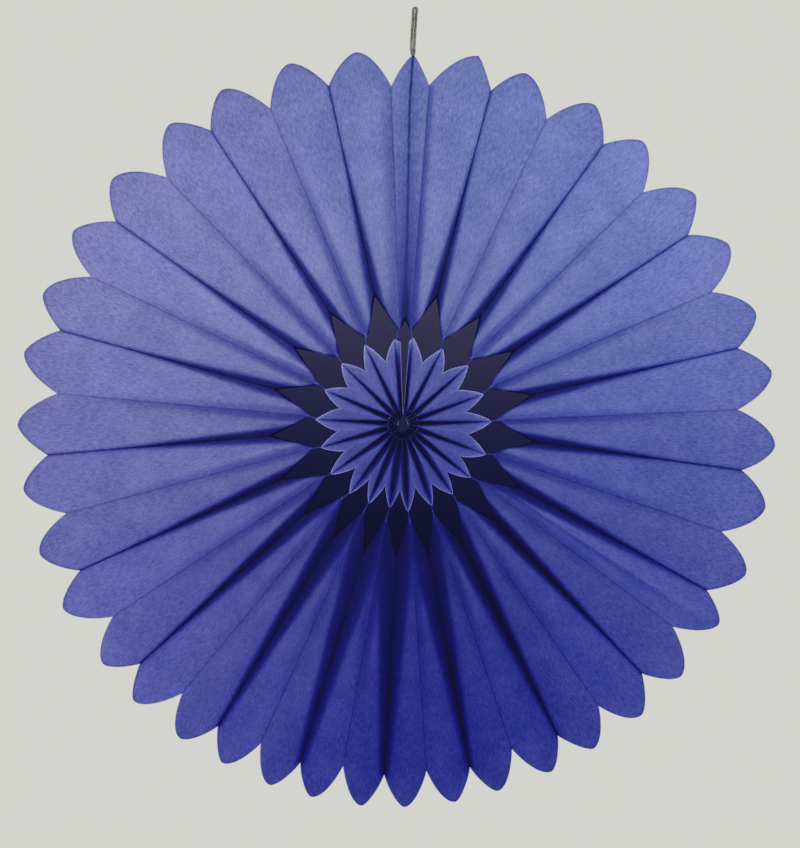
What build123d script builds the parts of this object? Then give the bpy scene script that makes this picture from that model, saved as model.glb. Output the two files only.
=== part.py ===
"""A hanging paper fan: one accordion-folded packet of tissue paper, opened into a disc.

The packet has twenty ridges that face the front and nineteen folds that face the back, and its two
end panels are stuck face to face along one seam, at the top. A rounded point is cut on the outer end
of every panel. A half diamond cut into each back fold leaves a ring of openings, and inside that ring
the same paper forms a small rosette of leaves, folded the other way. A thread laces the inner ends
together at the hub, and a doubled thread between the end panels is the loop that the fan hangs by.

Millimetres, +Z up. The front of the fan faces -Y, and its hub axis runs along Y. The origin is the
inside top of the hanging loop, where a pin or hook carries it. An angle is measured round the hub
from the top, clockwise as seen from the front, and a radius is measured from the hub axis.
"""

import os
from math import cos, exp, pi, radians, sin, sqrt, tan

from build123d import *

os.makedirs("parts", exist_ok=True)

# The folded packet
ridge_count = 20  # folds that face the front
panel_width = 35  # from fold to fold, across the packet
paper = 0.3
packed_angle = 185  # where the pleats stand closest together
packing = 0.34  # how much narrower they are there
uneven = ((112, 7, 1.5), (130, 5, -0.7), (303, 9, -0.8))  # angle, spread and shift, in degrees
outer_seam_angle = 3.2  # from the seam to the ridges beside it
inner_seam_angle = 6.0  # the same, in the inner rosette
seam_turn = 10.5  # width of the end panels that shows before they turn back
seam_turn_least = 2
seam_gap = 1.2  # between the end panels

# The rim
rim_radius = 200
rim_shift_x = -3.5  # the rim's centre, against the hub axis
rim_shift_z = -1.9
ridge_notch = 20  # how far the rim's notches stand in from the petal tips, at the ridges
back_notch = 15  # and at the back folds
tip_lean = 0.4  # how far the petal tips stand towards the back fold, in degrees
seam_tip_drop = 3  # the seam's tip stands in from the circle of tips
seam_front_drop = 0.5  # and the seam's front edge from its tip
seam_tip_set_back = 7  # the tip stands behind the seam's front edge
petal_bulge = 0.09  # how far the petals' sides bow out, against their length
depth_at_rim = 6  # least depth of the pleats

# The ring of openings
opening_outer = 70  # the openings' outer points, on the back folds
opening_inner = 49  # their inner corners, beside the ridges
opening_bulge = -0.06  # their outer sides bow towards the hub
opening_seam = 54  # the end panels' inner ends, at the seam
bridge_width = 0.8  # the strips that join the outer ridges to the leaves
bridge_depth = 1.5
bridge_overlap = 2  # how far they run into the outer ridges

# The inner rosette
leaf_tip = 46
leaf_notch = 34
leaf_seam_end = 43  # the half leaves beside the seam end here, along it
leaf_seam_angle = 1.5  # from the seam to their free edges
leaf_seam_width = 10  # from their middle folds to those edges
leaf_seam_set_back = 4  # the edges hang behind the front folds
hub_hole = 5
leaf_width = 14  # from fold to fold
leaf_tip_depth = -12
leaf_front = -16.5  # depth of the front folds at the notches
hub_front = -10  # and at the hub
leaf_bulge = 0.08

# The tape inside the seam
tape_width = 12
tape_start = 72
tape_end = 176
tape_set_back = 3  # from the seam's front edge

# The thread that laces the hub
lacing_thread = 0.8
lacing_radius = 8
lacing_depth = -4
lacing_clearance = 0.1
lacing_opening = 20  # degrees, at the seam, where its ends turn to the back
knot_depth = 8
knot_size = 2.6
tail_length = 9
tail_spread = 18  # degrees

# The hanging loop
loop_height = 26.2  # from the seam's tip to the top of the loop
loop_lean = 3.4  # degrees
loop_thread = 1.1
loop_spacing = 0.12  # between its two strands, where they run side by side

rim_cut = 212  # past the longest petal
thickest = 3.0  # limit on the paper's section where it stands nearly square to the front
outer_stations = (45, 70, 95, 120, 145, 170, 190, rim_cut)
inner_stations = (hub_hole - 1, 14, 24, leaf_notch, 40, leaf_tip + 2)

full_panels = 2 * ridge_count - 2
seam_tip = rim_radius + rim_shift_z - seam_tip_drop
seam_front_end = seam_tip - seam_front_drop
seam_shift = seam_gap / 2 + paper / 2
flap_width = panel_width - seam_turn


def fold_angles(seam_angle):
    """The angle of every fold, from the ridge after the seam to the ridge before it."""
    middles = [360 * (i + 0.5) / full_panels for i in range(full_panels)]
    shares = [1 - packing * ((1 + cos(radians(m - packed_angle))) / 2) ** 3 for m in middles]
    scale = (360 - 2 * seam_angle) / sum(shares)
    angles = [seam_angle]
    for share in shares:
        angles.append(angles[-1] + share * scale)
    return [a + sum(shift * exp(-(((a - at) / spread) ** 2)) for at, spread, shift in uneven) for a in angles]


outer_folds = fold_angles(outer_seam_angle)
inner_folds = fold_angles(inner_seam_angle)


def radial(angle):
    return Vector(sin(radians(angle)), 0, cos(radians(angle)))


def opening_at(angles, i):
    """The mean opening of the panels on the two sides of a fold."""
    before = angles[max(i - 1, 0)]
    after = angles[min(i + 1, full_panels)]
    sides = min(i + 1, full_panels) - max(i - 1, 0)
    return (after - before) / sides


def chord(radius, opening):
    return 2 * radius * sin(radians(opening) / 2)


def ridge_depth(radius, opening):
    """Depth of an outer ridge: a panel keeps its width however far the fan is opened."""
    depth = sqrt(max(panel_width**2 - chord(radius, opening) ** 2, depth_at_rim**2))
    return -depth / 2


def seam_across(radius):
    """How far the seam's front edge is from the ridges beside it."""
    return radius * sin(radians(outer_seam_angle)) - seam_gap / 2


def seam_depth(radius):
    """Depth of the line where an end panel turns back into the seam."""
    turned = sqrt(max(seam_turn**2 - seam_across(radius) ** 2, seam_turn_least**2))
    return ridge_depth(radius, opening_at(outer_folds, 0)) + turned


def leaf_front_depth(radius):
    share = (min(radius, leaf_notch) - hub_hole) / (leaf_notch - hub_hole)
    return hub_front + (leaf_front - hub_front) * share


def leaf_back_depth(radius, opening):
    """The leaves' middle folds lie behind the front folds, and rise to the leaves' tips."""
    inside = min(radius, leaf_notch)
    depth = leaf_front_depth(inside) + sqrt(leaf_width**2 - chord(inside, opening) ** 2)
    rise = max(0, radius - leaf_notch) / (leaf_tip - leaf_notch)
    return depth + (leaf_tip_depth - depth) * rise


# The loop stands over the seam's tip, so its place against the hub follows from the seam.
loop_depth = seam_depth(seam_front_end) + seam_tip_set_back
lean = Vector(sin(radians(loop_lean)), 0, cos(radians(loop_lean)))
loop_base = -lean * (loop_height - loop_thread)
hub = loop_base - Vector(0, loop_depth, seam_tip)
front_view = Plane(origin=hub, x_dir=(1, 0, 0), z_dir=(0, -1, 0))
hub_axis = Axis(hub, (0, 1, 0))
turned_in = [opening_seam, *[r for r in outer_stations if opening_seam < r < seam_front_end], seam_front_end]
flap_tip = (seam_depth(seam_front_end) + seam_tip_set_back, seam_tip)
flap_end = (seam_depth(seam_front_end) + flap_width, seam_tip - back_notch)


def fan_point(radius, angle, depth):
    return hub + radial(angle) * radius + Vector(0, depth, 0)


def front_point(radius, angle):
    """A point on a sketch that looks at the front of the fan, with the hub as its origin."""
    return (radius * sin(radians(angle)), radius * cos(radians(angle)))


def tip_radius(angle):
    """Distance from the hub axis to the circle of petal tips."""
    along = rim_shift_x * sin(radians(angle)) + rim_shift_z * cos(radians(angle))
    across = rim_shift_x * cos(radians(angle)) - rim_shift_z * sin(radians(angle))
    return along + sqrt(rim_radius**2 - across**2)


def rim_notch(i):
    drop = ridge_notch if i % 2 == 0 else back_notch
    return front_point(tip_radius(outer_folds[i]) - drop, outer_folds[i])


def bowed(start, end, bulge):
    """An arc between two points, bowed away from the hub by a share of its length."""
    a = Vector(*start)
    b = Vector(*end)
    middle = (a + b) / 2
    square = Vector(a.Y - b.Y, b.X - a.X).normalized()
    away = 1 if square.dot(middle) > 0 else -1
    return ThreePointArc(start, middle + square * away * bulge * (b - a).length, end)


def fold_plane(angle, offset=0):
    """The plane through the hub axis at an angle: X is the radius and Y the depth."""
    square = Vector(-cos(radians(angle)), 0, sin(radians(angle)))
    return Plane(origin=hub - square * offset, x_dir=radial(angle), z_dir=square)


def section(plane, stations, depth_of, width, across_of):
    """The paper's section at a fold: out along its front and back along its rear. Its height along
    Y makes it as thick as the paper, square to the panel beside it."""
    halves = [min(paper * width / across_of(r), thickest) / 2 for r in stations]
    front = [(r, depth_of(r) - half) for r, half in zip(stations, halves)]
    rear = [(r, depth_of(r) + half) for r, half in zip(stations, halves)]
    return plane, front + rear[::-1]


def outer_fold(i):
    opening = opening_at(outer_folds, i)
    side = 1 if i % 2 == 0 else -1
    return section(
        fold_plane(outer_folds[i]),
        outer_stations,
        lambda r: side * ridge_depth(r, opening),
        panel_width,
        lambda r: chord(r, opening),
    )


def outer_seam(angle, offset):
    return section(fold_plane(angle, offset), outer_stations, seam_depth, seam_turn, seam_across)


def leaf_fold(i):
    opening = opening_at(inner_folds, i)
    in_front = i % 2 == 1
    return section(
        fold_plane(inner_folds[i]),
        inner_stations,
        lambda r: leaf_front_depth(r) if in_front else leaf_back_depth(r, opening),
        leaf_width,
        lambda r: chord(r, opening),
    )


def leaf_seam(angle):
    return section(
        fold_plane(angle),
        inner_stations,
        lambda r: leaf_front_depth(r) + leaf_seam_set_back,
        leaf_seam_width,
        lambda r: chord(r, inner_seam_angle - leaf_seam_angle),
    )


def loop_point(x, y, rise):
    """A place on the hanging loop: what stands above the seam leans with the loop."""
    upward = lean if rise > 0 else Vector(0, 0, 1)
    return loop_base + Vector(x, y, 0) + upward * rise


def bend_radii(route):
    """Each corner's arc, as large as the two runs beside it allow."""
    radii = []
    for before, corner, after in zip(route, route[1:], route[2:]):
        turn = (corner - before).get_angle(after - corner)
        run = min((corner - before).length, (after - corner).length)
        radii.append(0.45 * run / tan(radians(turn) / 2))
    return radii


def lacing(room):
    """A ring of thread through every panel, whose ends turn back at the seam to a knot. With room,
    it is the space that the thread needs in the paper."""
    radius = lacing_thread / 2 + room
    knot_place = fan_point(lacing_radius, 0, knot_depth)
    with BuildPart() as lace:
        with BuildSketch(fold_plane(lacing_opening / 2)):
            with Locations((lacing_radius, lacing_depth)):
                Circle(radius)
        revolve(axis=hub_axis, revolution_arc=360 - lacing_opening)
        for side in (1, -1):
            corner = fan_point(lacing_radius, side * lacing_opening / 2, lacing_depth)
            to_knot = knot_place - corner
            tail = radial(180 + side * tail_spread)
            with Locations(corner):
                Sphere(radius)
            with BuildSketch(Plane(origin=corner, z_dir=to_knot)):
                Circle(radius)
            extrude(amount=to_knot.length)
            with BuildSketch(Plane(origin=knot_place, z_dir=tail)):
                Circle(radius)
            extrude(amount=tail_length)
        with Locations(knot_place):
            Sphere(knot_size / 2)
    return lace


# Plan of the outer pleats. Every full panel ends in a petal, and the end panels in half a petal each.
with BuildSketch(front_view) as petals:
    with BuildLine():
        seam_top = (0, seam_front_end)
        bowed(seam_top, rim_notch(0), petal_bulge)
        for i in range(full_panels):
            to_back_fold = tip_lean if i % 2 == 0 else -tip_lean
            tip_angle = (outer_folds[i] + outer_folds[i + 1]) / 2 + to_back_fold
            tip = front_point(tip_radius(tip_angle), tip_angle)
            bowed(rim_notch(i), tip, petal_bulge)
            bowed(tip, rim_notch(i + 1), petal_bulge)
        bowed(rim_notch(full_panels), seam_top, petal_bulge)
    make_face()
    with BuildLine():
        corners = [front_point(opening_inner, angle) for angle in outer_folds[::2]]
        points = [front_point(opening_outer, angle) for angle in outer_folds[1::2]]
        for i, point in enumerate(points):
            bowed(corners[i], point, opening_bulge)
            bowed(point, corners[i + 1], opening_bulge)
        Line(corners[-1], (0, opening_seam))
        Line((0, opening_seam), corners[0])
    make_face(mode=Mode.SUBTRACT)

# Plan of the leaves.
with BuildSketch(front_view) as leaves:
    with BuildLine():
        tips = [front_point(leaf_tip, angle) for angle in inner_folds[::2]]
        notches = [front_point(leaf_notch, angle) for angle in inner_folds[1::2]]
        for i, notch in enumerate(notches):
            bowed(tips[i], notch, leaf_bulge)
            bowed(notch, tips[i + 1], leaf_bulge)
        Line(tips[-1], (0, leaf_seam_end))
        Line((0, leaf_seam_end), tips[0])
    make_face()
    Circle(hub_hole, mode=Mode.SUBTRACT)

# The inner rosette: the same paper, with its front and back folds reversed.
with BuildPart() as inner_rosette:
    folds = [leaf_fold(i) for i in range(full_panels + 1)]
    for plane, outline in [leaf_seam(leaf_seam_angle), *folds, leaf_seam(360 - leaf_seam_angle)]:
        with BuildSketch(plane):
            with BuildLine():
                Polyline(outline, close=True)
            make_face()
    loft(ruled=True)
    extrude(leaves.sketch, amount=panel_width, both=True, mode=Mode.INTERSECT)

# The packet: one strip of paper that runs through every fold in turn, joined to the leaves' tips at
# the ridges, with its two end panels turned back at the seam.
with BuildPart() as pleated_paper:
    folds = [outer_fold(i) for i in range(full_panels + 1)]
    for plane, outline in [outer_seam(0, seam_shift), *folds, outer_seam(360, -seam_shift)]:
        with BuildSketch(plane):
            with BuildLine():
                Polyline(outline, close=True)
            make_face()
    loft(ruled=True)
    extrude(petals.sketch, amount=panel_width, both=True, mode=Mode.INTERSECT)

    add(inner_rosette.part)
    for i in range(0, full_panels + 1, 2):
        start_radius = opening_inner + bridge_overlap
        start_depth = ridge_depth(start_radius, opening_at(outer_folds, i))
        start = fan_point(start_radius, outer_folds[i], start_depth)
        reach = fan_point(leaf_tip - bridge_overlap / 2, inner_folds[i], leaf_tip_depth) - start
        along = Plane(origin=start, x_dir=reach.cross(Vector(0, 1, 0)), z_dir=reach)
        with BuildSketch(along):
            Rectangle(bridge_width, bridge_depth)
        extrude(amount=reach.length)

    seam_edge = [(seam_depth(r), r) for r in turned_in]
    free_edge = [(seam_depth(r) + flap_width, r) for r in turned_in[1:-2]]
    for side in (1, -1):
        inner_face = Plane(origin=hub + Vector(side * seam_gap / 2, 0, 0), x_dir=(0, 1, 0), z_dir=(1, 0, 0))
        with BuildSketch(inner_face):
            with BuildLine():
                Polyline(seam_edge)
                bowed(seam_edge[-1], flap_tip, petal_bulge)
                bowed(flap_tip, flap_end, petal_bulge)
                Polyline(flap_end, *reversed(free_edge), seam_edge[0])
            make_face()
        extrude(amount=side * paper)

    add(lacing(lacing_clearance).part, mode=Mode.SUBTRACT)


# The tape: a thin strip of double-sided foam between the end panels.
with BuildPart() as seam_tape:
    with BuildSketch(Plane(origin=hub, x_dir=(0, 1, 0), z_dir=(1, 0, 0))):
        with BuildLine():
            taped = [tape_start, *[r for r in outer_stations if tape_start < r < tape_end], tape_end]
            front_side = [(seam_depth(r) + tape_set_back, r) for r in taped]
            rear_side = [(seam_depth(r) + tape_set_back + tape_width, r) for r in reversed(taped)]
            Polyline(front_side + rear_side, close=True)
        make_face()
    extrude(amount=seam_gap / 2, both=True)

# The lacing that pulls the packet's inner ends together.
centre_thread = lacing(0)

# The hanging loop: one thread, doubled, that comes up out of the seam behind its front edge. Each
# place on its route is a side step, a step back, and a height over the seam's tip.
strand = loop_thread / 2 + loop_spacing / 2
top = loop_height - loop_thread
rising = [
    (0, -strand, -7.0),
    (0, -strand - 0.04, -3.2),
    (0, -strand, 0.8),
    (-0.3, -0.55, 4.6),
    (-0.5, -0.34, 9.0),
    (-0.56, -0.2, 13.4),
    (-0.7, -0.06, 17.4),
    (-0.95, 0, 20.6),
    (-1.35, 0, 22.9),
    (-1.25, 0, top + loop_thread / 2),
]
falling = [(-x, -y, rise) for x, y, rise in reversed(rising)]
loop_route = [loop_point(*place) for place in rising + falling]


with BuildPart() as hanging_loop:
    loop_radii = bend_radii(loop_route)
    with BuildLine() as loop_path:
        FilletPolyline(*loop_route, radius=loop_radii)
    with BuildSketch(Plane(origin=loop_route[0], z_dir=loop_route[1] - loop_route[0])):
        Circle(loop_thread / 2)
    sweep()
loop_length = loop_path.wires()[0].length
loop_section = pi * loop_thread**2 / 4
print("loop radii, in thread diameters:", [round(r / loop_thread, 1) for r in loop_radii])
print("loop length:", round(loop_length, 2))
print("loop volume over section times length:", round(hanging_loop.part.volume / loop_section / loop_length, 4))
print("hub:", hub)

pleated_paper.part.label = "pleated_paper"
seam_tape.part.label = "seam_tape"
centre_thread.part.label = "centre_thread"
hanging_loop.part.label = "hanging_loop"
export_step(pleated_paper.part, "parts/pleated_paper.step")
export_step(seam_tape.part, "parts/seam_tape.step")
export_step(centre_thread.part, "parts/centre_thread.step")
export_step(hanging_loop.part, "parts/hanging_loop.step")
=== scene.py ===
import random
from math import cos, exp, pi, radians, sin, sqrt

import bpy
import numpy as np
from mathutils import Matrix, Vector, noise


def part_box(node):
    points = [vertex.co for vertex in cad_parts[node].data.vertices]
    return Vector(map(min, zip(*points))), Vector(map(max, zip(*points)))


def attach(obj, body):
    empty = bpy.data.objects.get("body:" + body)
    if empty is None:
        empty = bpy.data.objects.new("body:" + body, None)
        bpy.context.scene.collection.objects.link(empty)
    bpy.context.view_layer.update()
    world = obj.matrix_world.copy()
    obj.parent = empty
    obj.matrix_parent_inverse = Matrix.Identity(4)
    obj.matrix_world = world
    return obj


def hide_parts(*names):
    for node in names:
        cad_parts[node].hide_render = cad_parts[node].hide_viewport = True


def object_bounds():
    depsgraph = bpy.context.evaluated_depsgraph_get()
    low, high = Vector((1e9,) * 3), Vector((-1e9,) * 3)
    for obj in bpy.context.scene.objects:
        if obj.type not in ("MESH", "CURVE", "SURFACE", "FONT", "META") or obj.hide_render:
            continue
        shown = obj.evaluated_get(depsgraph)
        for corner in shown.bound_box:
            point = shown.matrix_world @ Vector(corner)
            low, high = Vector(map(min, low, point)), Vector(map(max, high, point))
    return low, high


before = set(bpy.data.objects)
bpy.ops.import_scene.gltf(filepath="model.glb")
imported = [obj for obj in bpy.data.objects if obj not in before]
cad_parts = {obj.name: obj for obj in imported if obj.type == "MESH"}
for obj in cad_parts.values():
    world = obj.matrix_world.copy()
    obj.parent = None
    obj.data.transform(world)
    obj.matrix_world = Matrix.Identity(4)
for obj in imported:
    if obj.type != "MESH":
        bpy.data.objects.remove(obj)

mm = 0.001
cad_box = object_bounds()

# The hub: the axis that all the pleats turn round. The lacing thread rings it, so the middle of that
# ring's box is the hub's place, and depths behind it grow along +Y.
lacing_radius = 8 * mm
lacing_depth = -4 * mm
lacing_thread = 0.8 * mm
ring_low, ring_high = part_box("centre_thread")
hub = Vector((
    (ring_low.x + ring_high.x) / 2,
    ring_low.y + lacing_thread / 2 - lacing_depth,
    ring_low.z + lacing_thread / 2 + lacing_radius,
))


def radial(angle):
    """The direction away from the hub at an angle clockwise from the top, in degrees."""
    return Vector((sin(radians(angle)), 0, cos(radians(angle))))


# The camera stands straight in front of the hub, with the fan nearly filling the view's height.
# It is turned a little, because the fan hangs with its seam just clockwise of upright.
camera_distance = 1.9
view_height = 448.2 * mm  # at the hub's depth
view_left_of_hub = 1.6 * mm
fan_turn = 1.2
camera_data = bpy.data.cameras.new("camera")
camera_data.sensor_width = 36
camera_data.lens = camera_data.sensor_width * camera_distance / view_height
camera_data.clip_end = 20
camera = bpy.data.objects.new("camera", camera_data)
camera.location = hub + Vector((-view_left_of_hub, -camera_distance, 0))
camera.rotation_euler = (radians(90), -radians(fan_turn), 0)
bpy.context.scene.collection.objects.link(camera)
bpy.context.scene.camera = camera

# The hanging loop: one soft cotton thread of three plies, doubled. Both ends come up out of the seam,
# where tape holds them, and run side by side up to the tight turn that a pin carries.
loop_height = 26.2 * mm
loop_lean = 3.4
loop_diameter = 1.1 * mm
loop_spacing = 0.12 * mm
aside_heights = (-7, -3.2, 0.5, 3.6, 26)  # mm over the seam's tip
aside_steps = (0.86, 1.06, 1.26, 0.62, 0.3)  # mm to the side at those heights
strand = loop_diameter / 2 + loop_spacing / 2
top = loop_height - loop_diameter
rising = [
    (0, -strand, -7.0 * mm),
    (0, -strand - 0.04 * mm, -3.2 * mm),
    (0, -strand, 0.2 * mm),
    (-0.66 * mm, -0.4 * mm, 1.6 * mm),
    (-0.82 * mm, -0.2 * mm, 6.0 * mm),
    (-0.8 * mm, -0.1 * mm, 12.0 * mm),
    (-0.78 * mm, -0.04 * mm, 17.4 * mm),
    (-0.78 * mm, 0, 21.6 * mm),
    (-0.9 * mm, 0, 23.6 * mm),
    (-0.9 * mm, 0, top + loop_diameter / 2),
]
falling = [(-x, -y, rise) for x, y, rise in reversed(rising)]
loop_base = -radial(loop_lean) * top


def loop_point(x, y, rise):
    """A place on the loop, which stands a little aside, as the seam's tip has sprung the same way."""
    aside = float(np.interp(rise / mm, aside_heights, aside_steps)) * mm
    upward = radial(loop_lean) if rise > 0 else Vector((0, 0, 1))
    return loop_base + Vector((x + aside, y, 0)) + upward * rise


loop_route = [loop_point(*place) for place in rising + falling]


def spline_points(name, route, steps):
    """Points along the smooth NURBS line that a thread's route is the control of."""
    curve = bpy.data.curves.new(name, "CURVE")
    curve.dimensions = "3D"
    spline = curve.splines.new("NURBS")
    spline.points.add(len(route) - 1)
    for point, place in zip(spline.points, route):
        point.co = (*place, 1)
    spline.order_u = 3
    spline.use_endpoint_u = True
    spline.resolution_u = steps
    holder = bpy.data.objects.new(name, curve)
    line = bpy.data.meshes.new_from_object(holder)
    points = [v.co.copy() for v in line.vertices]
    bpy.data.objects.remove(holder)
    bpy.data.curves.remove(curve)
    return points


def even_points(points, step):
    """The same line with its points a step apart."""
    runs = [0]
    for a, b in zip(points, points[1:]):
        runs.append(runs[-1] + (b - a).length)
    count = max(2, round(runs[-1] / step))
    places = np.linspace(0, runs[-1], count + 1)
    axes = [np.interp(places, runs, [p[axis] for p in points]) for axis in range(3)]
    return [Vector(p) for p in zip(*axes)], places


def twisted_thread(path, step, plies, ply_radius, lay_radius, pitch, sides, seed):
    """Vertices and faces of the plies of a thread, laid round a path."""
    line, places = even_points(path, step)
    rings = len(line)
    along = [(line[min(i + 1, rings - 1)] - line[max(i - 1, 0)]).normalized() for i in range(rings)]
    side = along[0].orthogonal().normalized()
    sides_of = []
    for direction in along:
        side = (side - direction * side.dot(direction)).normalized()
        sides_of.append(side.copy())
    vertices = []
    faces = []
    for ply in range(plies):
        first = len(vertices)
        for i, (point, direction, side) in enumerate(zip(line, along, sides_of)):
            other = direction.cross(side)
            turn = 2 * pi * (ply / plies + places[i] / pitch)
            out = side * cos(turn) + other * sin(turn)
            centre = point + out * lay_radius
            slub = 1 + 0.12 * noise.noise(Vector((places[i] / pitch * 2.3, ply * 7.1, seed)))
            for k in range(sides):
                around = 2 * pi * k / sides
                vertices.append(centre + (side * cos(around) + other * sin(around)) * ply_radius * slub)
        for i in range(rings - 1):
            for k in range(sides):
                a = first + i * sides + k
                b = first + i * sides + (k + 1) % sides
                faces.append((a, b, b + sides, a + sides))
        faces.append(tuple(first + k for k in reversed(range(sides))))
        faces.append(tuple(first + (rings - 1) * sides + k for k in range(sides)))
    return vertices, faces


def add_mesh(name, vertices, faces):
    mesh = bpy.data.meshes.new(name)
    mesh.from_pydata([tuple(v) for v in vertices], [], faces)
    mesh.polygons.foreach_set("use_smooth", [True] * len(mesh.polygons))
    mesh.update()
    thing = bpy.data.objects.new(name, mesh)
    bpy.context.scene.collection.objects.link(thing)
    return thing


def add_group(name, inputs, outputs):
    """An empty shader node group. Inputs are name, kind and starting value, and outputs name and kind."""
    group = bpy.data.node_groups.new(name, "ShaderNodeTree")
    for label, kind, value in inputs:
        socket = group.interface.new_socket(label, in_out="INPUT", socket_type="NodeSocket" + kind)
        socket.default_value = value
    for label, kind in outputs:
        group.interface.new_socket(label, in_out="OUTPUT", socket_type="NodeSocket" + kind)
    return group, group.nodes.new("NodeGroupInput"), group.nodes.new("NodeGroupOutput")


def add_node(tree, kind, links=(), **settings):
    """A node with its settings, joined to the sockets that feed it."""
    node = tree.nodes.new("ShaderNode" + kind)
    for key, value in settings.items():
        setattr(node, key, value)
    for socket, source in dict(links).items():
        if isinstance(source, bpy.types.NodeSocket):
            tree.links.new(source, node.inputs[socket])
        else:
            node.inputs[socket].default_value = source
    return node


# Spun fibre: the fuzz and stray shading of a cotton thread, as a height and a mask over its surface.
# The loop and the lacing are both of such thread.
fibre, fibre_in, fibre_out = add_group(
    "spun_fibre",
    [("Scale", "Float", 2500.0), ("Stretch", "Float", 6.0)],
    [("Height", "Float"), ("Shade", "Float")],
)
place = add_node(fibre, "TexCoord")
fuzz = add_node(
    fibre,
    "TexNoise",
    {"Vector": place.outputs["Object"], "Scale": fibre_in.outputs["Scale"], "Detail": 3.0, "Roughness": 0.7},
)
stray_scale = add_node(
    fibre, "Math", {0: fibre_in.outputs["Scale"], 1: fibre_in.outputs["Stretch"]}, operation="DIVIDE"
)
stray = add_node(
    fibre,
    "TexNoise",
    {"Vector": place.outputs["Object"], "Scale": stray_scale.outputs[0], "Detail": 2.0, "Roughness": 0.6},
)
fibre.links.new(fuzz.outputs["Fac"], fibre_out.inputs["Height"])
fibre.links.new(stray.outputs["Fac"], fibre_out.inputs["Shade"])


def thread_material(name, dark, light, roughness, sheen):
    """Matt spun thread: two shades of its fibre, with a fuzzy surface."""
    material = bpy.data.materials.new(name)
    material.use_nodes = True
    tree = material.node_tree
    shader = tree.nodes["Principled BSDF"]
    shader.inputs["Sheen Weight"].default_value = sheen
    shader.inputs["Sheen Roughness"].default_value = 0.6
    shader.inputs["Roughness"].default_value = roughness
    spun = add_node(tree, "Group", node_tree=fibre)
    spun.inputs["Scale"].default_value = 2600
    colours = add_node(tree, "ValToRGB", {"Fac": spun.outputs["Shade"]})
    colours.color_ramp.elements[0].position = 0.35
    colours.color_ramp.elements[0].color = (*dark, 1)
    colours.color_ramp.elements[1].position = 0.65
    colours.color_ramp.elements[1].color = (*light, 1)
    tree.links.new(colours.outputs["Color"], shader.inputs["Base Color"])
    bump = add_node(tree, "Bump", {"Height": spun.outputs["Height"], "Strength": 0.5, "Distance": 0.1 * mm})
    tree.links.new(bump.outputs["Normal"], shader.inputs["Normal"])
    return material


loop_path = even_points(spline_points("loop_line", loop_route, 24), 0.25 * mm)[0]
vertices, faces = twisted_thread(
    loop_path, 0.2 * mm, plies=3, ply_radius=0.5 * mm, lay_radius=0.26 * mm, pitch=2.4 * mm, sides=8, seed=1.5
)
hanging_loop = add_mesh("hanging_loop_thread", vertices, faces)
hanging_loop.data.materials.append(
    thread_material("loop_cotton", (0.13, 0.14, 0.105), (0.27, 0.28, 0.225), roughness=0.85, sheen=0.15)
)
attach(hanging_loop, "root")
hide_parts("hanging_loop")

# The pleated paper: one strip of dyed tissue, folded to and fro into forty panels and opened into a
# disc. Rounded points are cut on the panels' outer ends, and a half diamond out of each back fold.
# Its two end panels are turned back and stuck face to face, which is the seam at the top.
ridge_count = 20
full_panels = 2 * ridge_count - 2
panel_width = 35 * mm
packed_angle = 185
packing = 0.34
uneven = ((112, 7, 1.5), (130, 5, -0.7), (303, 9, -0.8))  # angle, spread and shift, in degrees
outer_seam_angle = 3.2  # from the seam to the ridges beside it
seam_turn = 10.5 * mm
seam_turn_least = 2 * mm
seam_shift = 0.75 * mm  # of the turned-in flaps, with the tape between them
seam_front_shift = 0.5 * mm  # of their front edges, which turn in round a small bend
seam_pinch = 0.1 * mm  # of the paper just behind those edges
seam_spring = 1.3 * mm  # how far the seam has sprung aside at the end of this stretch
seam_spring_from = 165 * mm
seam_spring_length = 30 * mm
seam_tip_drop = 3 * mm
seam_front_drop = 0.5 * mm
rim_radius = 200 * mm
rim_shift_x = -3.5 * mm
rim_shift_z = -1.9 * mm
ridge_notch = 20 * mm
back_notch = 15 * mm
tip_lean = 0.4
seam_tip = rim_radius + rim_shift_z - seam_tip_drop
seam_front_end = seam_tip - seam_front_drop
seam_tip_set_back = 7 * mm
depth_at_rim = 6 * mm
gentle_slope = 0.78
steep_openings = (7.0, 9.2)  # degrees
steep_slopes = (3.8, 6.4)  # at those openings
opening_outer = 70 * mm
opening_inner = 49 * mm
opening_seam = 54 * mm
flap_width = panel_width - seam_turn
turn_crease_span = 10  # mm across the turned edge, as the shading of its folds counts them
flap_crease_span = 24  # and across the flap
half_wall = 0.15 * mm  # of the solid paper that this sheet stands for
tissue_thickness = 0.2 * mm


def fold_angles(seam_angle):
    """The angle of every fold, from the ridge after the seam to the ridge before it."""
    middles = [360 * (i + 0.5) / full_panels for i in range(full_panels)]
    shares = [1 - packing * ((1 + cos(radians(m - packed_angle))) / 2) ** 3 for m in middles]
    scale = (360 - 2 * seam_angle) / sum(shares)
    angles = [seam_angle]
    for share in shares:
        angles.append(angles[-1] + share * scale)
    return [a + sum(shift * exp(-(((a - at) / spread) ** 2)) for at, spread, shift in uneven) for a in angles]


def opening_at(angles, i):
    """The mean opening of the panels on the two sides of a fold."""
    before = max(i - 1, 0)
    after = min(i + 1, full_panels)
    return (angles[after] - angles[before]) / (after - before)


def tip_radius(angle):
    """Distance from the hub to the circle of petal tips."""
    along = rim_shift_x * sin(radians(angle)) + rim_shift_z * cos(radians(angle))
    across = rim_shift_x * cos(radians(angle)) - rim_shift_z * sin(radians(angle))
    return along + sqrt(rim_radius**2 - across**2)


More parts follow.
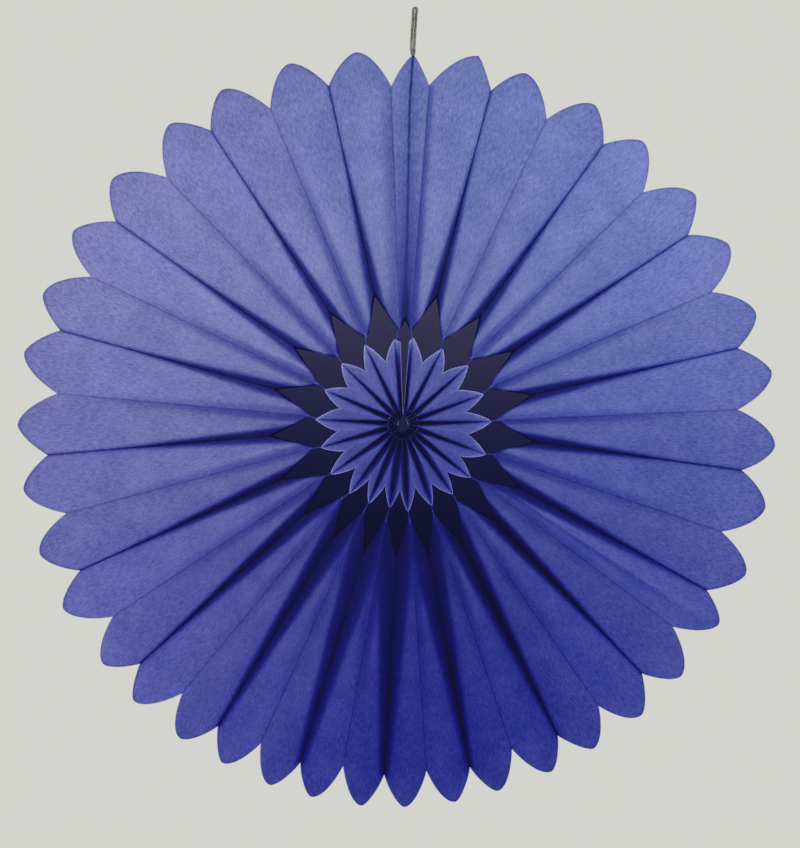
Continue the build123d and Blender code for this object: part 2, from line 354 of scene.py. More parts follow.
def panel_span(radius, opening, width=panel_width):
    """How a panel spans its opening, for radii along a fold. Where the opening is narrow for the paper's
    width, the paper slopes gently from the ridge and then turns steeply in towards the back fold.
    Gives the chord, the width that is steep, the slope of the rest, and the depth of the two together."""
    chord = 2 * radius * sin(radians(opening) / 2)
    steep_slope = np.interp(opening, steep_openings, steep_slopes)
    gentle = sqrt(1 + gentle_slope**2)
    steep = sqrt(1 + steep_slope**2)
    steep_width = np.maximum(0, (width - chord * gentle) / (steep - gentle))
    straight = np.sqrt(np.maximum(width**2 - chord**2, depth_at_rim**2))
    slope = np.where(steep_width > 0, gentle_slope, straight / chord)
    depth = slope * (chord - steep_width) + steep_slope * steep_width
    return chord, steep_width, slope, steep_slope, depth


def pleat_depth(radius, opening):
    return panel_span(radius, opening)[4]


chance = random.Random(20)
outer_folds = fold_angles(outer_seam_angle)
rim_notches = [
    tip_radius(a) - (back_notch if i % 2 else ridge_notch) + chance.uniform(-1, 1) * mm
    for i, a in enumerate(outer_folds)
]
fold_shifts = [chance.uniform(-1.4, 1.4) * mm for a in outer_folds]


def fold_depth(i, radius):
    """Depth of an outer fold: even folds are the front ridges, and odd folds face the back."""
    side = 1 if i % 2 else -1
    return side * pleat_depth(radius, opening_at(outer_folds, i)) / 2 + fold_shifts[i]


def seam_depth(radius):
    across = radius * sin(radians(outer_seam_angle)) - (seam_shift - half_wall)
    turned = np.sqrt(np.maximum(seam_turn**2 - across**2, seam_turn_least**2))
    return -pleat_depth(radius, opening_at(outer_folds, 0)) / 2 + turned


def seam_aside(radius):
    """How far the seam stands off its straight line, near its tip."""
    return seam_spring * max(0, (radius - seam_spring_from) / seam_spring_length) ** 1.5


def fan_point(radius, angle, depth):
    return hub + radial(angle) * radius + Vector((0, depth, 0))


class Paper:
    """The sheet's mesh while it is built from grids of points, each with a place on the flat paper."""

    def __init__(self):
        self.points = []
        self.faces = []
        self.flat = []
        self.creases = []
        self.edges = []
        self.sharp = []

    def add_grid(self, columns, flats, creases, sharp_columns, outer_edge):
        """Columns are lists of points, all as long, and neighbours are joined by faces. Their last
        points lie on a cut edge, which outer_edge marks as dark below zero and as light above it."""
        first = len(self.points)
        rows = len(columns[0])
        self.edges += ([0.0] * (rows - 1) + [outer_edge]) * len(columns)
        for column, flat, crease in zip(columns, flats, creases):
            self.points += column
            self.flat += flat
            self.creases += crease
        for c in range(len(columns) - 1):
            for r in range(rows - 1):
                a = first + c * rows + r
                self.faces.append((a, a + 1, a + rows + 1, a + rows))
        for c in sharp_columns:
            for r in range(rows - 1):
                a = first + c * rows + r
                self.sharp.append((a, a + 1))


paper = Paper()
strips = 24
rows = 42
even_steps = np.linspace(0, 1, strips + 1)
shares_from_ridge = even_steps**1.25 * 0.35 + (1 - (1 - even_steps) ** 1.8) * 0.65  # closer by the back fold
shares_from_both = 0.5 - 0.5 * np.cos(pi * even_steps)
ridge_band = 4.5 * mm  # beside the ridges the paper falls away faster, the more so near the openings
band_fades_at = 175 * mm
band_fade_length = 90 * mm
side_share = 0.22  # of the fall, in the bands of the two panels beside the seam
side_bands = {0: 4 * mm, full_panels - 1: 8 * mm}
row_steps = np.linspace(0, 1, rows + 1)
row_shares = row_steps - 0.12 * np.sin(2 * pi * row_steps) / (2 * pi)  # closer at the inner and outer ends
folded_tip_angle = 10.6  # the first petal's outer corner is folded back along a straight line
folded_tip_rise = 1.2 * mm
middle_crease_angle = 121  # one panel has a crease down its length
middle_crease_place = 0.52
middle_crease_reach = 0.2
middle_crease_depth = 2.6 * mm
columns, flats, creases, sharp_columns = [], [], [], []


def handling_bend(panel_seed, angle, radius, u):
    """Depth of the small bends of one panel: long waves, and ripples that grow towards the openings."""
    wave = noise.noise(Vector((angle * 0.11, radius * 14, panel_seed)))
    ripple = noise.noise(Vector((angle * 0.55, radius * 30, panel_seed + 40)))
    inner = max(0, 1 - (radius - opening_inner) / (45 * mm))
    return (wave * 1.1 + ripple * (0.22 + 0.4 * inner)) * sin(pi * u) * mm


def across_profile(from_ridge, radius, opening, width=panel_width, bend_softness=0.45 * mm):
    """Share of a pleat's depth reached at a share of a panel's width."""
    chord, steep_width, slope, steep_slope, depth = panel_span(radius, opening, width)

    def fallen(x):
        bend = np.logaddexp(0, (x - (chord - steep_width)) / bend_softness) * bend_softness
        return slope * x + (steep_slope - slope) * bend

    return (fallen(from_ridge * chord) - fallen(0)) / (fallen(chord) - fallen(0))


def add_column(radii, angle, depths, across, crease):
    """One line of points outward from the hub, at a place across the flat paper and off its folds."""
    columns.append([fan_point(r, angle, d) for r, d in zip(radii, depths)])
    flats.append([(across, r) for r in radii])
    creases.append([crease] * len(radii))


def end_panel_columns(side):
    """The end panel from its ridge to the seam, then turned back as the flap inside it. Gives its
    columns and the number of the one at the turn."""
    fold = 0 if side > 0 else full_panels
    ridge_angle = outer_folds[fold]
    made = []
    steps = 8
    for k in range(steps + 1):
        w = k / steps
        start = opening_inner + (opening_seam - opening_inner) * w
        end = rim_notches[fold] + (seam_front_end - rim_notches[fold]) * (1 - (1 - w) ** 1.25)
        radii = start + (end - start) * row_shares
        depths = (1 - w) * fold_depth(fold, radii) + w * seam_depth(radii)
        bow = 0.5 * mm * sin(pi * w)
        points = []
        for r, d in zip(radii, depths):
            ridge = radial(ridge_angle) * r
            seam = Vector((side * seam_front_shift + seam_aside(r), 0, r))
            points.append(hub + ridge.lerp(seam, w) + Vector((0, d - bow, 0)))
        off_folds = min(w, 1 - w) * turn_crease_span
        made.append((points, [(w * seam_turn, r) for r in radii], [off_folds] * len(radii)))
    for q in (0.012, 0.03, 0.06, 0.12, 0.2, 0.32, 0.46, 0.62, 0.8, 1):
        back = q * flap_width
        start = opening_seam + (opening_outer - opening_seam) * q
        if back < seam_tip_set_back:
            share = back / seam_tip_set_back
            end = seam_front_end + (seam_tip - seam_front_end) * share**0.8
        else:
            share = (back - seam_tip_set_back) / (flap_width - seam_tip_set_back)
            end = seam_tip - back_notch * share**1.6
        radii = start + (end - start) * row_shares
        depths = seam_depth(radii) + back
        turned = sqrt(max(0, 1 - (q / 0.03) ** 2)) if q < 0.03 else 0
        shift = seam_pinch + (seam_front_shift - seam_pinch) * turned
        if q > 0.06:
            shift += (seam_shift - seam_pinch) * min(1, (q - 0.06) / 0.14)
        points = [hub + Vector((side * shift + seam_aside(r), d, r)) for r, d in zip(radii, depths)]
        off_folds = min(q, 1 - q) * flap_crease_span
        made.append((points, [(seam_turn + back, r) for r in radii], [off_folds] * len(radii)))
    return made, steps


start_panel, turn_column = end_panel_columns(1)
for points, flat, crease in reversed(start_panel[1:]):
    columns.append(points)
    flats.append([(-x, r) for x, r in flat])
    creases.append(crease)
sharp_columns.append(len(start_panel) - 1 - turn_column)

for i in range(full_panels):
    angle_a, angle_b = outer_folds[i], outer_folds[i + 1]
    ridge_first = i % 2 == 0
    lean = (tip_lean if ridge_first else -tip_lean) + chance.uniform(-0.35, 0.35)
    tip_angle = (angle_a + angle_b) / 2 + lean
    tip = tip_radius(tip_angle) + chance.uniform(-0.8, 0.8) * mm
    ridge_power = 1.8 + chance.uniform(-0.12, 0.12)
    back_power = 1.5 + chance.uniform(-0.15, 0.15)
    bulge = chance.uniform(-1.0, 1.0) * mm
    ridge_share = chance.uniform(0.08, 0.22)
    if i == 0:
        tip_angle = folded_tip_angle
        tip = tip_radius(tip_angle) + folded_tip_rise
        back_power = 1.0
    creased = angle_a < middle_crease_angle < angle_b
    for k in range(strips + 1):
        if k == 0:
            sharp_columns.append(len(columns))
        if k == strips and i < full_panels - 1:
            continue
        shares = shares_from_both if i in side_bands else shares_from_ridge
        u = shares[k] if ridge_first else 1 - shares[strips - k]
        angle = angle_a + (angle_b - angle_a) * u
        towards_a = angle < tip_angle
        edge_angle = angle_a if towards_a else angle_b
        notch = rim_notches[i] if towards_a else rim_notches[i + 1]
        t = abs(angle - tip_angle) / abs(edge_angle - tip_angle)
        power = ridge_power if towards_a == ridge_first else back_power
        end = tip - (tip - notch) * t**power
        from_ridge = u if ridge_first else 1 - u
        start = opening_inner + (opening_outer - opening_inner) * from_ridge**1.45
        radii = start + (end - start) * row_shares
        ridge = fold_depth(i if ridge_first else i + 1, radii)
        back = fold_depth(i + 1 if ridge_first else i, radii)
        profile = across_profile(from_ridge, radii, angle_b - angle_a)
        if i in side_bands:
            band, share = side_bands[i], side_share
        else:
            band = ridge_band
            share = ridge_share * np.clip((band_fades_at - radii) / band_fade_length, 0, 1)
        in_band = np.clip(from_ridge * radii * radians(angle_b - angle_a) / band, 0, 1)
        profile = share * in_band * (2 - in_band) + (1 - share) * profile
        depths = ridge + (back - ridge) * profile
        fullness = np.sin(pi * np.clip((radii - opening_inner) / (rim_radius - opening_inner), 0, 1)) ** 0.7
        depths = depths + bulge * sin(pi * u) * fullness
        depths = depths + np.array([handling_bend(i * 3.7, angle, r, u) for r in radii])
        if creased:
            near_crease = max(0, 1 - abs(u - middle_crease_place) / middle_crease_reach)
            depths = depths + middle_crease_depth * near_crease**1.5 * fullness
        add_column(radii, angle, depths, (i + u) * panel_width, min(u, 1 - u) * panel_width / mm)
sharp_columns.append(len(columns) - 1)

end_panel, turn_column = end_panel_columns(-1)
sharp_columns.append(len(columns) - 1 + turn_column)
for points, flat, crease in end_panel[1:]:
    columns.append(points)
    flats.append([(x + full_panels * panel_width, r) for x, r in flat])
    creases.append(crease)
paper.add_grid(columns, flats, creases, sharp_columns, outer_edge=-1.0)

# The inner rosette is the middle of the same strip, folded the other way: between the openings the
# paper stands in twenty leaves, each creased down its middle, with the lacing thread near the hub.
inner_seam_angle = 6.0
leaf_tip = 46 * mm
leaf_notch = 34 * mm
leaf_seam_end = 43 * mm
leaf_seam_angle = 3.0
leaf_seam_set_back = 4 * mm
hub_hole = 4.2 * mm
hub_raggedness = 1.1 * mm
leaf_width = 14 * mm
leaf_fullness = 9.5 * mm  # the less, the finer the dark line along a leaf's middle
leaf_tip_depth = -12 * mm
leaf_front = -16.5 * mm
hub_front = -10 * mm
leaf_fold_softness = 0.22 * mm
leaf_seam_crease_span = 10  # mm from the seam to the first fold, as the shading of the seam counts them
leaf_crease_offset = 2  # mm, which keeps the leaves' other folds clear of the shade of a crease
leaf_strips = 12
leaf_rows = 18
inner_folds = fold_angles(inner_seam_angle)
leaf_folds = [a + chance.uniform(-1.3, 1.3) * (1 if i % 2 == 0 else 0.5) for i, a in enumerate(inner_folds)]
leaf_ends = [
    leaf_notch + chance.uniform(-0.5, 0.5) * mm if i % 2 else leaf_tip + chance.uniform(-1.4, 0.4) * mm
    for i in range(full_panels + 1)
]


def leaf_front_depth(radius):
    share = (np.minimum(radius, leaf_notch) - hub_hole) / (leaf_notch - hub_hole)
    return hub_front + (leaf_front - hub_front) * share


def leaf_back_depth(radius, opening):
    inside = np.minimum(radius, leaf_notch)
    chord = 2 * inside * sin(radians(opening) / 2)
    depth = leaf_front_depth(inside) + np.sqrt(leaf_width**2 - chord**2)
    rise = np.maximum(0, radius - leaf_notch) / (leaf_tip - leaf_notch)
    return depth + (leaf_tip_depth - depth) * rise


def leaf_depth(i, radius):
    if i % 2:
        return leaf_front_depth(radius)
    return leaf_back_depth(radius, opening_at(inner_folds, i))


leaf_starts = [hub_hole + chance.uniform(-1, 1) * hub_raggedness for a in inner_folds]
leaf_shares = np.linspace(0, 1, leaf_rows + 1)
columns, flats, creases, sharp_columns = [], [], [], []
seam_columns = {}
for side, fold in ((1, 0), (-1, full_panels)):
    seam_angle = leaf_seam_angle if side > 0 else 360 - leaf_seam_angle
    made = []
    for k in range(leaf_strips + 1):
        w = k / leaf_strips
        angle = leaf_folds[fold] + (seam_angle - leaf_folds[fold]) * w
        end = leaf_ends[fold] + (leaf_seam_end - leaf_ends[fold]) * w
        radii = leaf_starts[fold] + (end - leaf_starts[fold]) * leaf_shares
        depths = (1 - w) * leaf_depth(fold, radii) + w * (leaf_front_depth(radii) + leaf_seam_set_back)
        points = [fan_point(r, angle, d) for r, d in zip(radii, depths)]
        made.append((points, [(w * leaf_width, r) for r in radii], [w * leaf_seam_crease_span] * len(radii)))
    seam_columns[side] = made
for points, flat, crease in reversed(seam_columns[1][1:]):
    columns.append(points)
    flats.append([(-x, r) for x, r in flat])
    creases.append(crease)
for i in range(full_panels):
    angle_a, angle_b = leaf_folds[i], leaf_folds[i + 1]
    tip_first = i % 2 == 0
    curl = chance.uniform(-0.3, 0.5) * mm
    leaf_power = 1.12 + chance.uniform(-0.08, 0.12)
    for k in range(leaf_strips + 1):
        if k == 0:
            sharp_columns.append(len(columns))
        if k == leaf_strips and i < full_panels - 1:
            continue
        from_tip = (k / leaf_strips if tip_first else 1 - k / leaf_strips) ** 1.6
        u = from_tip if tip_first else 1 - from_tip
        tip_end = leaf_ends[i if tip_first else i + 1]
        notch_end = leaf_ends[i + 1 if tip_first else i]
        end = tip_end - (tip_end - notch_end) * from_tip**leaf_power
        start = leaf_starts[i] + (leaf_starts[i + 1] - leaf_starts[i]) * u
        radii = start + (end - start) * leaf_shares
        middle = leaf_depth(i if tip_first else i + 1, radii)
        front = leaf_depth(i + 1 if tip_first else i, radii)
        fallen = across_profile(1 - from_tip, radii, angle_b - angle_a, leaf_fullness, leaf_fold_softness)
        depths = front + (middle - front) * fallen + curl * sin(pi * u) * leaf_shares**2
        angle = angle_a + (angle_b - angle_a) * u
        off_folds = leaf_crease_offset + min(u, 1 - u) * leaf_width / mm
        add_column(radii, angle, depths, (i + u) * leaf_width, off_folds)
sharp_columns.append(len(columns) - 1)
for points, flat, crease in seam_columns[-1][1:]:
    columns.append(points)
    flats.append([(x + full_panels * leaf_width, r) for x, r in flat])
    creases.append(crease)
paper.add_grid(columns, flats, creases, sharp_columns, outer_edge=1.0)

# Narrow strips are all that the cuts leave of the same paper at the front ridges. They join the pleats
# to the leaves, each folded along its middle as the ridge is.
bridge_width = 1.1 * mm
bridge_overlap = 2.5 * mm
bridge_fold_depth = 0.35 * mm
bridge_waist = 0.35
bridge_rows = 6
for i in range(0, full_panels + 1, 2):
    outer = opening_inner + bridge_overlap
    inner = leaf_ends[i] - bridge_overlap
    start = fan_point(outer, outer_folds[i], float(fold_depth(i, np.array([outer]))[0]))
    end = fan_point(inner, leaf_folds[i], float(leaf_depth(i, np.array([inner]))[0]))
    sideways = (end - start).cross(Vector((0, 1, 0))).normalized()
    columns, flats, creases = [], [], []
    for step, behind in ((-0.5, bridge_fold_depth), (0, 0), (0.5, bridge_fold_depth)):
        points = []
        for r in range(bridge_rows + 1):
            s = r / bridge_rows
            reach = sideways * step * bridge_width * (1 - bridge_waist * sin(pi * s))
            points.append(start.lerp(end, s) + reach + Vector((0, behind, 0)))
        across = i * panel_width + step * bridge_width
        columns.append(points)
        flats.append([(across, opening_inner - r * mm) for r in range(bridge_rows + 1)])
        creases.append([abs(step)] * (bridge_rows + 1))
    paper.add_grid(columns, flats, creases, [1], outer_edge=0.0)

pleated_paper = add_mesh("pleated_tissue", paper.points, paper.faces)
sheet_mesh = pleated_paper.data
flat_map = sheet_mesh.uv_layers.new(name="flat_paper")
corner_vertices = np.empty(len(sheet_mesh.loops), int)
sheet_mesh.loops.foreach_get("vertex_index", corner_vertices)
flat_map.data.foreach_set("uv", np.array(paper.flat)[corner_vertices].ravel())
crease_map = sheet_mesh.attributes.new("crease", "FLOAT", "POINT")
crease_map.data.foreach_set("value", paper.creases)
edge_map = sheet_mesh.attributes.new("cut_edge", "FLOAT", "POINT")
edge_map.data.foreach_set("value", paper.edges)
folded_edges = {tuple(sorted(edge)) for edge in paper.sharp}
sharp_map = sheet_mesh.attributes.new("sharp_edge", "BOOLEAN", "EDGE")
sharp_map.data.foreach_set("value", [tuple(sorted(e.vertices)) in folded_edges for e in sheet_mesh.edges])
thickness = pleated_paper.modifiers.new("thickness", "SOLIDIFY")
thickness.thickness = tissue_thickness
thickness.offset = 0
thickness.material_offset_rim = 1

# Dyed tissue: soft blue wood-pulp paper with cloudy formation, short fibres and a faint tooth. The
# fibres are longer along the folds, so they follow the sheet's place on the flat paper.
tissue, tissue_in, tissue_out = add_group(
    "tissue_formation",
    [("Cloud Scale", "Float", 60.0), ("Fibre Scale", "Float", 900.0)],
    [("Cloud", "Float"), ("Fibre", "Float"), ("Height", "Float")],
)
sheet_place = add_node(tissue, "TexCoord")
cloud = add_node(
    tissue,
    "TexNoise",
    {
        "Vector": sheet_place.outputs["Object"],
        "Scale": tissue_in.outputs["Cloud Scale"],
        "Detail": 4.0,
        "Roughness": 0.6,
    },
)
squeeze = add_node(tissue, "Mapping", {"Vector": sheet_place.outputs["UV"], "Scale": (1.0, 0.35, 1.0)})
fibres = add_node(
    tissue,
    "TexNoise",
    {
        "Vector": squeeze.outputs["Vector"],
        "Scale": tissue_in.outputs["Fibre Scale"],
        "Detail": 4.0,
        "Roughness": 0.75,
        "Distortion": 0.4,
    },
)
tooth = add_node(
    tissue,
    "TexNoise",
    {"Vector": sheet_place.outputs["Object"], "Scale": 1800.0, "Detail": 2.0, "Roughness": 0.6},
)
speck = add_node(
    tissue,
    "TexNoise",
    {"Vector": sheet_place.outputs["Object"], "Scale": 1700.0, "Detail": 3.0, "Roughness": 0.8},
)
surface = add_node(tissue, "Math", {0: fibres.outputs["Fac"], 1: tooth.outputs["Fac"]}, operation="ADD")
mottle = add_node(tissue, "Math", {0: fibres.outputs["Fac"], 1: speck.outputs["Fac"]}, operation="ADD")
half_mottle = add_node(tissue, "Math", {0: mottle.outputs[0], 1: 0.5}, operation="MULTIPLY")
tissue.links.new(cloud.outputs["Fac"], tissue_out.inputs["Cloud"])
tissue.links.new(half_mottle.outputs[0], tissue_out.inputs["Fibre"])
tissue.links.new(surface.outputs[0], tissue_out.inputs["Height"])

# Fold and edge tones: the paper is drawn darker in a crease, a painted shade for the thin shadow along each
# fold, and darker on the petals' cut edges, and paler on the leaves' edges, a painted highlight. The mesh
# says how far each point lies off a fold, and which cut edge it is on.
painted_crease_and_edge_tones, painted_tones_in, painted_tones_out = add_group(
    "painted_crease_shade_and_edge_tones",
    [("Crease Shade", "Float", 0.7), ("Edge Shade", "Float", 0.6), ("Edge Bloom", "Float", 1.6)],
    [("Tint", "Float")],
)
crease_at = add_node(painted_crease_and_edge_tones, "Attribute", attribute_name="crease")
# Painted shade: the colour is darkened within 0.9 mm of a fold, where the fold's thin shadow falls.
in_crease = add_node(
    painted_crease_and_edge_tones,
    "MapRange",
    {
        "Value": crease_at.outputs["Fac"],
        "From Min": 0.0,
        "From Max": 0.9,
        "To Min": painted_tones_in.outputs["Crease Shade"],
        "To Max": 1.0,
    },
)
edge_at = add_node(painted_crease_and_edge_tones, "Attribute", attribute_name="cut_edge")
dark_edge = add_node(
    painted_crease_and_edge_tones,
    "MapRange",
    {
        "Value": edge_at.outputs["Fac"],
        "From Min": -1.0,
        "From Max": -0.8,
        "To Min": painted_tones_in.outputs["Edge Shade"],
        "To Max": 1.0,
    },
)
# Painted highlight: the leaves' cut edges are made paler.
painted_edge_highlight = add_node(
    painted_crease_and_edge_tones,
    "MapRange",
    {
        "Value": edge_at.outputs["Fac"],
        "From Min": 0.7,
        "From Max": 1.0,
        "To Min": 1.0,
        "To Max": painted_tones_in.outputs["Edge Bloom"],
    },
)
shaded = add_node(
    painted_crease_and_edge_tones, "Math", {0: in_crease.outputs["Result"], 1: dark_edge.outputs["Result"]}, operation="MULTIPLY"
)
tint = add_node(painted_crease_and_edge_tones, "Math", {0: shaded.outputs[0], 1: painted_edge_highlight.outputs["Result"]}, operation="MULTIPLY")
painted_crease_and_edge_tones.links.new(tint.outputs[0], painted_tones_out.inputs["Tint"])


def tissue_material(name, deep, pale, translucent_share):
    """Matt tissue between two shades of its dye, that lets part of the light through."""
    material = bpy.data.materials.new(name)
    material.use_nodes = True
    tree = material.node_tree
    shader = tree.nodes["Principled BSDF"]
    shader.inputs["Roughness"].default_value = 0.75
    shader.inputs["Specular IOR Level"].default_value = 0.25
    formation = add_node(tree, "Group", node_tree=tissue)
    faint = add_node(tree, "Math", {0: formation.outputs["Cloud"], 1: cloud_share}, operation="MULTIPLY")
    strong = add_node(tree, "Math", {0: formation.outputs["Fibre"], 1: 1 - cloud_share}, operation="MULTIPLY")
    blend = add_node(tree, "Math", {0: faint.outputs[0], 1: strong.outputs[0]}, operation="ADD")
    colours = add_node(tree, "ValToRGB", {"Fac": blend.outputs[0]})
    colours.color_ramp.elements[0].position = 0.41
    colours.color_ramp.elements[0].color = (*deep, 1)
    colours.color_ramp.elements[1].position = 0.59
    colours.color_ramp.elements[1].color = (*pale, 1)
    # The colour is scaled by the painted crease shade, the darker petal edges and the leaves' painted edge
    # highlight.
    crease_and_edge_tones = add_node(tree, "Group", node_tree=painted_crease_and_edge_tones)
    tinted = add_node(
        tree, "VectorMath", {0: colours.outputs["Color"], "Scale": crease_and_edge_tones.outputs["Tint"]}, operation="SCALE"
    )
    bump = add_node(
        tree, "Bump", {"Height": formation.outputs["Height"], "Strength": 0.35, "Distance": 0.15 * mm}
    )
    tree.links.new(bump.outputs["Normal"], shader.inputs["Normal"])
    tree.links.new(tinted.outputs["Vector"], shader.inputs["Base Color"])
    through = add_node(
        tree, "BsdfTranslucent", {"Color": tinted.outputs["Vector"], "Normal": bump.outputs["Normal"]}
    )
    mix = add_node(
        tree, "MixShader", {0: translucent_share, 1: shader.outputs["BSDF"], 2: through.outputs["BSDF"]}
    )
    tree.links.new(mix.outputs["Shader"], tree.nodes["Material Output"].inputs["Surface"])
    return material


cloud_share = 0.14
blue_dye = ((0.165, 0.19, 0.48), (0.325, 0.35, 0.75))
# The cut edges get the dye made paler: a painted highlight where light catches them.
cut_edge_dye_and_highlight = ((0.30, 0.34, 0.66), (0.38, 0.42, 0.74))
sheet_mesh.materials.append(tissue_material("blue_tissue", *blue_dye, translucent_share=0.3))
sheet_mesh.materials.append(tissue_material("blue_tissue_cut_edge_highlight", *cut_edge_dye_and_highlight, translucent_share=0.35))
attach(pleated_paper, "root")
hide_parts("pleated_paper")

# The tape inside the seam: a narrow strip of white double-sided foam that holds the end panels
# together and the loop's two ends between them.
foam = bpy.data.materials.new("white_foam_in_painted_shade")
foam.use_nodes = True
foam_shader = foam.node_tree.nodes["Principled BSDF"]
foam_shader.inputs["Roughness"].default_value = 0.9
cells = add_node(foam.node_tree, "TexVoronoi", {"Scale": 2200.0})
# The white foam is coloured a dark bluish grey: painted shade, for the shadow inside the seam under the blue
# tissue.
foam_shaded_colours = add_node(foam.node_tree, "ValToRGB", {"Fac": cells.outputs["Distance"]})
foam_shaded_colours.color_ramp.elements[0].color = (0.12, 0.13, 0.22, 1)
foam_shaded_colours.color_ramp.elements[1].color = (0.2, 0.21, 0.3, 1)
foam.node_tree.links.new(foam_shaded_colours.outputs["Color"], foam_shader.inputs["Base Color"])
foam_bump = add_node(
    foam.node_tree, "Bump", {"Height": cells.outputs["Distance"], "Strength": 0.6, "Distance": 0.2 * mm}
)
foam.node_tree.links.new(foam_bump.outputs["Normal"], foam_shader.inputs["Normal"])
foam_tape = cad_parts["seam_tape"]
foam_tape.data.materials.clear()
foam_tape.data.materials.append(foam)

# The lacing: a fine two-ply thread through every pleat near the hub. It draws the paper's inner ends
# together, and its ends turn to the back at the seam, where they are knotted.
lacing_opening = 20
knot_depth = 8 * mm
tail_length = 9 * mm
tail_spread = 18
tail_lift = 0.8 * mm
knot_size = 1.1 * mm
knot_place = fan_point(lacing_radius, 0, knot_depth)
turns = np.linspace(lacing_opening / 2, 360 - lacing_opening / 2, 60)
ring = [fan_point(lacing_radius, a, lacing_depth + 0.12 * mm * sin(radians(a * 19))) for a in turns]
lace = [knot_place, *ring, knot_place]
thread_shape = dict(plies=2, ply_radius=0.22 * mm, lay_radius=0.18 * mm, pitch=1.7 * mm, sides=7)
vertices, faces = twisted_thread(lace, 0.25 * mm, seed=3.5, **thread_shape)
for side in (1, -1):
    away = radial(180 + side * tail_spread)
    tail = [
        knot_place + away * tail_length * s + Vector((0, tail_lift * s * s, 0)) for s in np.linspace(0, 1, 9)
    ]
    tail_vertices, tail_faces = twisted_thread(tail, 0.25 * mm, seed=5.5 + side, **thread_shape)
    first = len(vertices)
    vertices += tail_vertices
    faces += [tuple(first + v for v in face) for face in tail_faces]
knot_turn = np.linspace(0, 2 * pi, 49)[:-1]
knot = []
for a in [*knot_turn, 0]:
    out = 0.55 + 0.3 * cos(3 * a)
    knot.append(knot_place + Vector((out * cos(2 * a), 0.45 * sin(3 * a), out * sin(2 * a))) * knot_size)
knot_vertices, knot_faces = twisted_thread(knot, 0.2 * mm, seed=9.5, **thread_shape)
first = len(vertices)
vertices += knot_vertices
faces += [tuple(first + v for v in face) for face in knot_faces]
centre_thread = add_mesh("centre_lacing", vertices, faces)
centre_thread.data.materials.append(
    thread_material("lacing_cotton", (0.10, 0.12, 0.28), (0.16, 0.18, 0.38), roughness=0.85, sheen=0.2)
)
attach(centre_thread, "root")
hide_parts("centre_thread")

# The room: a pale wall close behind the fan, which glows evenly but for a painted shadow behind the hub,
# darker below it than above, where the real fan shades it, and a pale floor well below. Lamps far in front
# each light a part.
wall_depth = cad_box[1].y + 2 * mm
wall_colour = (0.81, 0.815, 0.775, 1)
# Colours of the painted shadow in the wall's glow, above and below the hub.
shade_above = (0.09, 0.087, 0.135, 1)
shade_below = (0.02, 0.025, 0.075, 1)
shade_radius = 120 * mm
shade_blur = 30 * mm
shade_turn = 60 * mm  # from the hub's height to the full tone above or below it


def plane(name, centre, half_x, half_z, flat):
    """A rectangle that stands facing the front, or that lies flat."""
    if flat:
        corners = [(-half_x, -half_z, 0), (half_x, -half_z, 0), (half_x, half_z, 0), (-half_x, half_z, 0)]
    else:
        corners = [(-half_x, 0, -half_z), (half_x, 0, -half_z), (half_x, 0, half_z), (-half_x, 0, half_z)]
    thing = add_mesh(name, [Vector(centre) + Vector(c) for c in corners], [(0, 1, 2, 3)])
    return thing


def paint(name, colour):
    """Matt wall paint, with the faint tone changes of a roller."""
    material = bpy.data.materials.new(name)
    material.use_nodes = True
    tree = material.node_tree
    shader = tree.nodes["Principled BSDF"]
    shader.inputs["Roughness"].default_value = 0.95
    shader.inputs["Specular IOR Level"].default_value = 0.1
    grain = add_node(tree, "TexNoise", {"Scale": 30.0, "Detail": 3.0})
    tones = add_node(tree, "ValToRGB", {"Fac": grain.outputs["Fac"]})
    tones.color_ramp.elements[0].color = (*[c * 0.98 for c in colour], 1)
    tones.color_ramp.elements[1].color = (*[min(1, c * 1.02) for c in colour], 1)
    tree.links.new(tones.outputs["Color"], shader.inputs["Base Color"])
    return material


wall = plane("wall", (hub.x, wall_depth, hub.z), 3.0, 1.6, flat=False)
wall_paint = paint("wall_paint", (0.012, 0.012, 0.03))
wall.data.materials.append(wall_paint)
tree = wall_paint.node_tree
in_room = add_node(tree, "TexCoord").outputs["Object"]
from_hub = add_node(tree, "VectorMath", {0: in_room, 1: tuple(hub)}, operation="SUBTRACT")
reach = add_node(tree, "VectorMath", {0: from_hub.outputs["Vector"]}, operation="LENGTH")
beyond_shade = add_node(
    tree,
    "MapRange",
    {"Value": reach.outputs["Value"], "From Min": shade_radius, "From Max": shade_radius + shade_blur},
)
height = add_node(tree, "SeparateXYZ", {"Vector": from_hub.outputs["Vector"]})
rise = add_node(
    tree, "MapRange", {"Value": height.outputs["Z"], "From Min": -shade_turn, "From Max": shade_turn}
)
# The painted shadow: a dark patch in the wall's glow, darker below the hub than above it.
shade = add_node(
    tree, "MixRGB", {"Fac": rise.outputs["Result"], "Color1": shade_below, "Color2": shade_above}
)
wall_tone = add_node(
    tree,
    "MixRGB",
    {"Fac": beyond_shade.outputs["Result"], "Color1": shade.outputs["Color"], "Color2": wall_colour},
)
glow = add_node(tree, "Emission", {"Color": wall_tone.outputs["Color"], "Strength": 1.0})
clear = add_node(tree, "BsdfTransparent")
faces_away = add_node(tree, "NewGeometry")
sides = add_node(
    tree,
    "MixShader",
    {0: faces_away.outputs["Backfacing"], 1: glow.outputs["Emission"], 2: clear.outputs["BSDF"]},
)
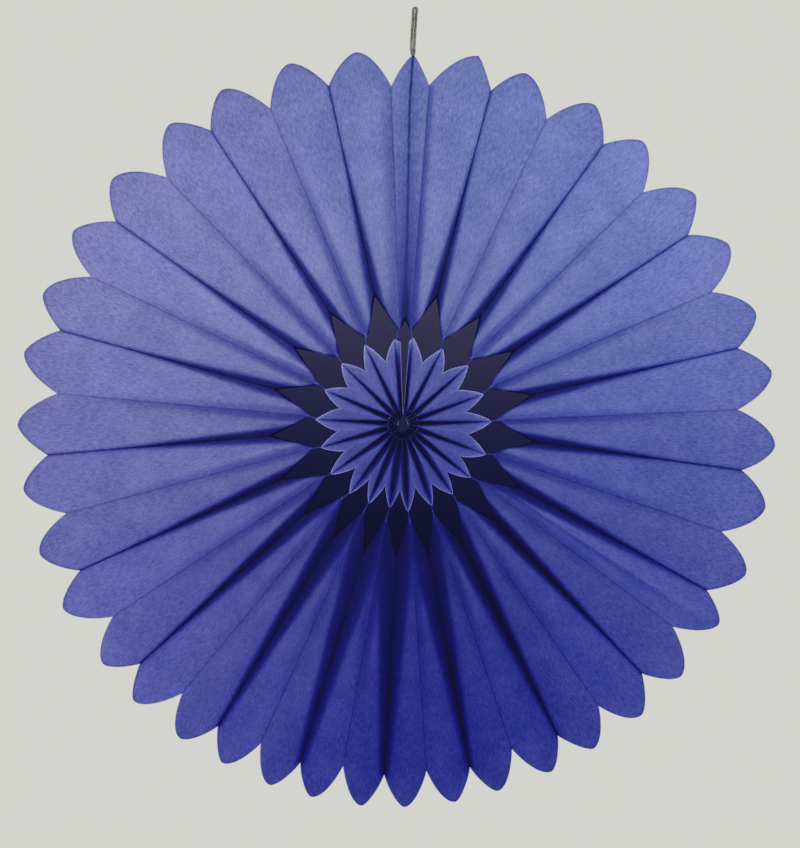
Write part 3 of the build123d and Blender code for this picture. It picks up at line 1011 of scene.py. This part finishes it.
tree.links.new(sides.outputs["Shader"], tree.nodes["Material Output"].inputs["Surface"])
floor = plane("floor", (hub.x, 0, hub.z - 1.3), 6.0, 6.0, flat=True)
floor.data.materials.append(paint("floor_paint", (0.78, 0.78, 0.76)))


lamp_distance = 2.2


def spot_light(name, spot, spread, power, colour):
    """A soft lamp far in front, whose beam fades out towards its spread around a spot on the fan."""
    across, up = spot
    place = hub + Vector((across * 0.6, -lamp_distance, up * 0.6 + 0.1))
    aim = hub + Vector((across, 0, up))
    beam = bpy.data.lights.new(name, "SPOT")
    beam.energy = power
    beam.color = colour
    beam.spot_size = 2 * spread / lamp_distance
    beam.spot_blend = 1.0
    beam.shadow_soft_size = 0.12
    lamp = bpy.data.objects.new(name, beam)
    lamp.location = place
    lamp.rotation_euler = (aim - place).to_track_quat("-Z", "Y").to_euler()
    lamp.visible_camera = False
    bpy.context.scene.collection.objects.link(lamp)


spot_light("left_light", (-0.13, 0.065), 0.185, 258, (1.0, 0.9, 0.7))
spot_light("right_light", (0.13, 0.095), 0.185, 202, (0.96, 1.0, 0.91))
spot_light("top_light", (0, 0.16), 0.18, 88, (0.8, 1.0, 0.7))
spot_light("lower_left_light", (-0.155, -0.145), 0.14, 138, (1.0, 0.95, 1.0))
spot_light("lower_right_light", (0.17, -0.14), 0.14, 92, (1.0, 1.0, 1.0))
world = bpy.data.worlds.new("room_light")
world.use_nodes = True
world.node_tree.nodes["Background"].inputs["Color"].default_value = (0.48, 0.49, 1.0, 1)
world.node_tree.nodes["Background"].inputs["Strength"].default_value = 0.56
bpy.context.scene.world = world
view = bpy.context.scene.view_settings
view.view_transform = "Standard"
view.use_curve_mapping = True
tone_curve = view.curve_mapping.curves[3]
for light_in, light_out in ((0.05, 0.013), (0.1, 0.05), (0.22, 0.176), (0.3, 0.255), (0.6, 0.467)):
    tone_curve.points.new(light_in, light_out)
tone_curve.points[0].location = (0.0, 0.006)
tone_curve.points[-1].location = (1.0, 0.84)
view.curve_mapping.update()
